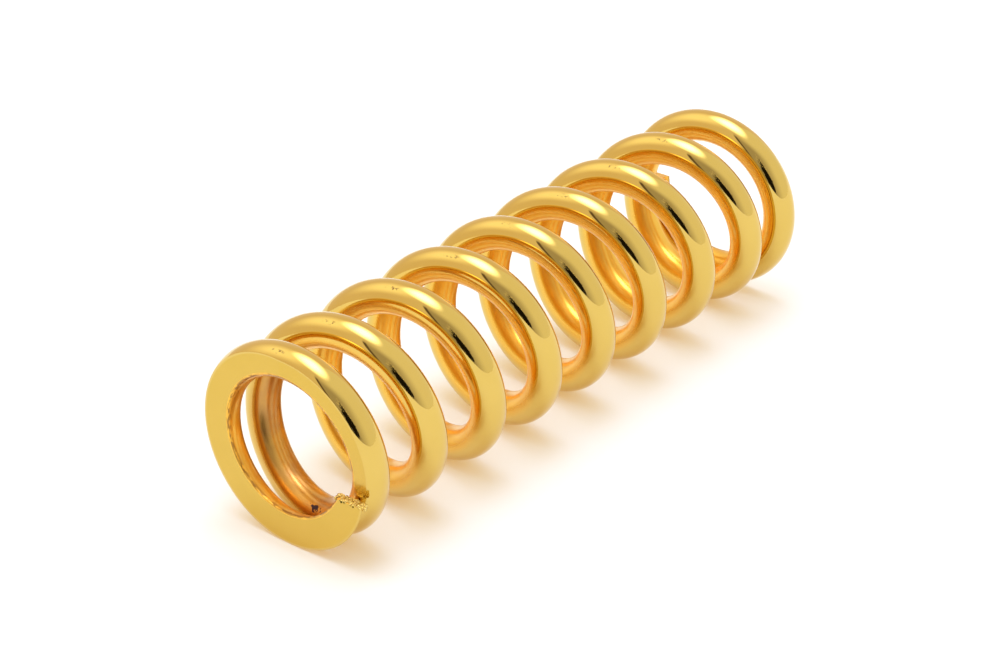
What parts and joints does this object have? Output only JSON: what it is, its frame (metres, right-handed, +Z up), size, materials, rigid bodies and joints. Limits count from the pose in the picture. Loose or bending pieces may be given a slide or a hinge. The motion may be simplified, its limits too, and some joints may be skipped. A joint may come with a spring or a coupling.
{
  "type": "compression coil spring",
  "caption": "Thick gold-coloured wire wound into an open compression spring with closed, flat-ground ends, lying on its side. It shortens when its ends are pressed together.",
  "frame": {"origin": "on the surface that the spring lies on, under the middle of its length and of its width", "axes": "+X along the spring's axis from the front ground end to the rear one, +Z up, +Y to the side where the rear wire tip ends"},
  "size_m": [0.1416, 0.0422, 0.0421],
  "materials": {
    "gold_plating": "mirror-bright gold-coloured plating on spring steel wire"
  },
  "bodies": {
    "front_end_coil": {"front_end_coil": "gold_plating"},
    "coil_1_low_left": {"coil_1_low_left": "gold_plating"},
    "coil_1_top_left": {"coil_1_top_left": "gold_plating"},
    "coil_1_top_right": {"coil_1_top_right": "gold_plating"},
    "coil_1_low_right": {"coil_1_low_right": "gold_plating"},
    "coil_2_low_left": {"coil_2_low_left": "gold_plating"},
    "coil_2_top_left": {"coil_2_top_left": "gold_plating"},
    "coil_2_top_right": {"coil_2_top_right": "gold_plating"},
    "coil_2_low_right": {"coil_2_low_right": "gold_plating"},
    "coil_3_low_left": {"coil_3_low_left": "gold_plating"},
    "coil_3_top_left": {"coil_3_top_left": "gold_plating"},
    "coil_3_top_right": {"coil_3_top_right": "gold_plating"},
    "coil_3_low_right": {"coil_3_low_right": "gold_plating"},
    "coil_4_low_left": {"coil_4_low_left": "gold_plating"},
    "coil_4_top_left": {"coil_4_top_left": "gold_plating"},
    "coil_4_top_right": {"coil_4_top_right": "gold_plating"},
    "coil_4_low_right": {"coil_4_low_right": "gold_plating"},
    "coil_5_low_left": {"coil_5_low_left": "gold_plating"},
    "coil_5_top_left": {"coil_5_top_left": "gold_plating"},
    "coil_5_top_right": {"coil_5_top_right": "gold_plating"},
    "coil_5_low_right": {"coil_5_low_right": "gold_plating"},
    "coil_6_low_left": {"coil_6_low_left": "gold_plating"},
    "coil_6_top_left": {"coil_6_top_left": "gold_plating"},
    "coil_6_top_right": {"coil_6_top_right": "gold_plating"},
    "coil_6_low_right": {"coil_6_low_right": "gold_plating"},
    "coil_7_low_left": {"coil_7_low_left": "gold_plating"},
    "coil_7_top_left": {"coil_7_top_left": "gold_plating"},
    "coil_7_top_right": {"coil_7_top_right": "gold_plating"},
    "coil_7_low_right": {"coil_7_low_right": "gold_plating"},
    "rear_end_coil": {"rear_end_coil": "gold_plating"}
  },
  "joints": [
    {"name": "squeeze", "type": "slide", "parent": "front_end_coil", "child": "coil_1_low_left", "axis": [-1, 0, 0], "range_m": [0, 0.0012], "stiffness_N_per_m": 200000},
    {"name": "coil_1_top_left_slide", "type": "slide", "parent": "coil_1_low_left", "child": "coil_1_top_left", "axis": [-1, 0, 0], "range_m": [0, 0.0024], "stiffness_N_per_m": 100000},
    {"name": "coil_1_top_right_slide", "type": "slide", "parent": "coil_1_top_left", "child": "coil_1_top_right", "axis": [-1, 0, 0], "range_m": [0, 0.0024], "stiffness_N_per_m": 100000},
    {"name": "coil_1_low_right_slide", "type": "slide", "parent": "coil_1_top_right", "child": "coil_1_low_right", "axis": [-1, 0, 0], "range_m": [0, 0.0024], "stiffness_N_per_m": 100000},
    {"name": "coil_2_low_left_slide", "type": "slide", "parent": "coil_1_low_right", "child": "coil_2_low_left", "axis": [-1, 0, 0], "range_m": [0, 0.0024], "stiffness_N_per_m": 100000},
    {"name": "coil_2_top_left_slide", "type": "slide", "parent": "coil_2_low_left", "child": "coil_2_top_left", "axis": [-1, 0, 0], "range_m": [0, 0.0024], "stiffness_N_per_m": 100000},
    {"name": "coil_2_top_right_slide", "type": "slide", "parent": "coil_2_top_left", "child": "coil_2_top_right", "axis": [-1, 0, 0], "range_m": [0, 0.0024], "stiffness_N_per_m": 100000},
    {"name": "coil_2_low_right_slide", "type": "slide", "parent": "coil_2_top_right", "child": "coil_2_low_right", "axis": [-1, 0, 0], "range_m": [0, 0.0024], "stiffness_N_per_m": 100000},
    {"name": "coil_3_low_left_slide", "type": "slide", "parent": "coil_2_low_right", "child": "coil_3_low_left", "axis": [-1, 0, 0], "range_m": [0, 0.0024], "stiffness_N_per_m": 100000},
    {"name": "coil_3_top_left_slide", "type": "slide", "parent": "coil_3_low_left", "child": "coil_3_top_left", "axis": [-1, 0, 0], "range_m": [0, 0.0024], "stiffness_N_per_m": 100000},
    {"name": "coil_3_top_right_slide", "type": "slide", "parent": "coil_3_top_left", "child": "coil_3_top_right", "axis": [-1, 0, 0], "range_m": [0, 0.0024], "stiffness_N_per_m": 100000},
    {"name": "coil_3_low_right_slide", "type": "slide", "parent": "coil_3_top_right", "child": "coil_3_low_right", "axis": [-1, 0, 0], "range_m": [0, 0.0024], "stiffness_N_per_m": 100000},
    {"name": "coil_4_low_left_slide", "type": "slide", "parent": "coil_3_low_right", "child": "coil_4_low_left", "axis": [-1, 0, 0], "range_m": [0, 0.0024], "stiffness_N_per_m": 100000},
    {"name": "coil_4_top_left_slide", "type": "slide", "parent": "coil_4_low_left", "child": "coil_4_top_left", "axis": [-1, 0, 0], "range_m": [0, 0.0024], "stiffness_N_per_m": 100000},
    {"name": "coil_4_top_right_slide", "type": "slide", "parent": "coil_4_top_left", "child": "coil_4_top_right", "axis": [-1, 0, 0], "range_m": [0, 0.0024], "stiffness_N_per_m": 100000},
    {"name": "coil_4_low_right_slide", "type": "slide", "parent": "coil_4_top_right", "child": "coil_4_low_right", "axis": [-1, 0, 0], "range_m": [0, 0.0024], "stiffness_N_per_m": 100000},
    {"name": "coil_5_low_left_slide", "type": "slide", "parent": "coil_4_low_right", "child": "coil_5_low_left", "axis": [-1, 0, 0], "range_m": [0, 0.0024], "stiffness_N_per_m": 100000},
    {"name": "coil_5_top_left_slide", "type": "slide", "parent": "coil_5_low_left", "child": "coil_5_top_left", "axis": [-1, 0, 0], "range_m": [0, 0.0024], "stiffness_N_per_m": 100000},
    {"name": "coil_5_top_right_slide", "type": "slide", "parent": "coil_5_top_left", "child": "coil_5_top_right", "axis": [-1, 0, 0], "range_m": [0, 0.0024], "stiffness_N_per_m": 100000},
    {"name": "coil_5_low_right_slide", "type": "slide", "parent": "coil_5_top_right", "child": "coil_5_low_right", "axis": [-1, 0, 0], "range_m": [0, 0.0024], "stiffness_N_per_m": 100000},
    {"name": "coil_6_low_left_slide", "type": "slide", "parent": "coil_5_low_right", "child": "coil_6_low_left", "axis": [-1, 0, 0], "range_m": [0, 0.0024], "stiffness_N_per_m": 100000},
    {"name": "coil_6_top_left_slide", "type": "slide", "parent": "coil_6_low_left", "child": "coil_6_top_left", "axis": [-1, 0, 0], "range_m": [0, 0.0024], "stiffness_N_per_m": 100000},
    {"name": "coil_6_top_right_slide", "type": "slide", "parent": "coil_6_top_left", "child": "coil_6_top_right", "axis": [-1, 0, 0], "range_m": [0, 0.0024], "stiffness_N_per_m": 100000},
    {"name": "coil_6_low_right_slide", "type": "slide", "parent": "coil_6_top_right", "child": "coil_6_low_right", "axis": [-1, 0, 0], "range_m": [0, 0.0024], "stiffness_N_per_m": 100000},
    {"name": "coil_7_low_left_slide", "type": "slide", "parent": "coil_6_low_right", "child": "coil_7_low_left", "axis": [-1, 0, 0], "range_m": [0, 0.0024], "stiffness_N_per_m": 100000},
    {"name": "coil_7_top_left_slide", "type": "slide", "parent": "coil_7_low_left", "child": "coil_7_top_left", "axis": [-1, 0, 0], "range_m": [0, 0.0024], "stiffness_N_per_m": 100000},
    {"name": "coil_7_top_right_slide", "type": "slide", "parent": "coil_7_top_left", "child": "coil_7_top_right", "axis": [-1, 0, 0], "range_m": [0, 0.0024], "stiffness_N_per_m": 100000},
    {"name": "coil_7_low_right_slide", "type": "slide", "parent": "coil_7_top_right", "child": "coil_7_low_right", "axis": [-1, 0, 0], "range_m": [0, 0.0024], "stiffness_N_per_m": 100000},
    {"name": "rear_end_coil_slide", "type": "slide", "parent": "coil_7_low_right", "child": "rear_end_coil", "axis": [-1, 0, 0], "range_m": [0, 0.0012], "stiffness_N_per_m": 200000}
  ],
  "couplings": [
    {"joint": "coil_1_top_left_slide", "follows": "squeeze", "ratio": 2},
    {"joint": "coil_1_top_right_slide", "follows": "squeeze", "ratio": 2},
    {"joint": "coil_1_low_right_slide", "follows": "squeeze", "ratio": 2},
    {"joint": "coil_2_low_left_slide", "follows": "squeeze", "ratio": 2},
    {"joint": "coil_2_top_left_slide", "follows": "squeeze", "ratio": 2},
    {"joint": "coil_2_top_right_slide", "follows": "squeeze", "ratio": 2},
    {"joint": "coil_2_low_right_slide", "follows": "squeeze", "ratio": 2},
    {"joint": "coil_3_low_left_slide", "follows": "squeeze", "ratio": 2},
    {"joint": "coil_3_top_left_slide", "follows": "squeeze", "ratio": 2},
    {"joint": "coil_3_top_right_slide", "follows": "squeeze", "ratio": 2},
    {"joint": "coil_3_low_right_slide", "follows": "squeeze", "ratio": 2},
    {"joint": "coil_4_low_left_slide", "follows": "squeeze", "ratio": 2},
    {"joint": "coil_4_top_left_slide", "follows": "squeeze", "ratio": 2},
    {"joint": "coil_4_top_right_slide", "follows": "squeeze", "ratio": 2},
    {"joint": "coil_4_low_right_slide", "follows": "squeeze", "ratio": 2},
    {"joint": "coil_5_low_left_slide", "follows": "squeeze", "ratio": 2},
    {"joint": "coil_5_top_left_slide", "follows": "squeeze", "ratio": 2},
    {"joint": "coil_5_top_right_slide", "follows": "squeeze", "ratio": 2},
    {"joint": "coil_5_low_right_slide", "follows": "squeeze", "ratio": 2},
    {"joint": "coil_6_low_left_slide", "follows": "squeeze", "ratio": 2},
    {"joint": "coil_6_top_left_slide", "follows": "squeeze", "ratio": 2},
    {"joint": "coil_6_top_right_slide", "follows": "squeeze", "ratio": 2},
    {"joint": "coil_6_low_right_slide", "follows": "squeeze", "ratio": 2},
    {"joint": "coil_7_low_left_slide", "follows": "squeeze", "ratio": 2},
    {"joint": "coil_7_top_left_slide", "follows": "squeeze", "ratio": 2},
    {"joint": "coil_7_top_right_slide", "follows": "squeeze", "ratio": 2},
    {"joint": "coil_7_low_right_slide", "follows": "squeeze", "ratio": 2},
    {"joint": "rear_end_coil_slide", "follows": "squeeze", "ratio": 1}
  ]
}
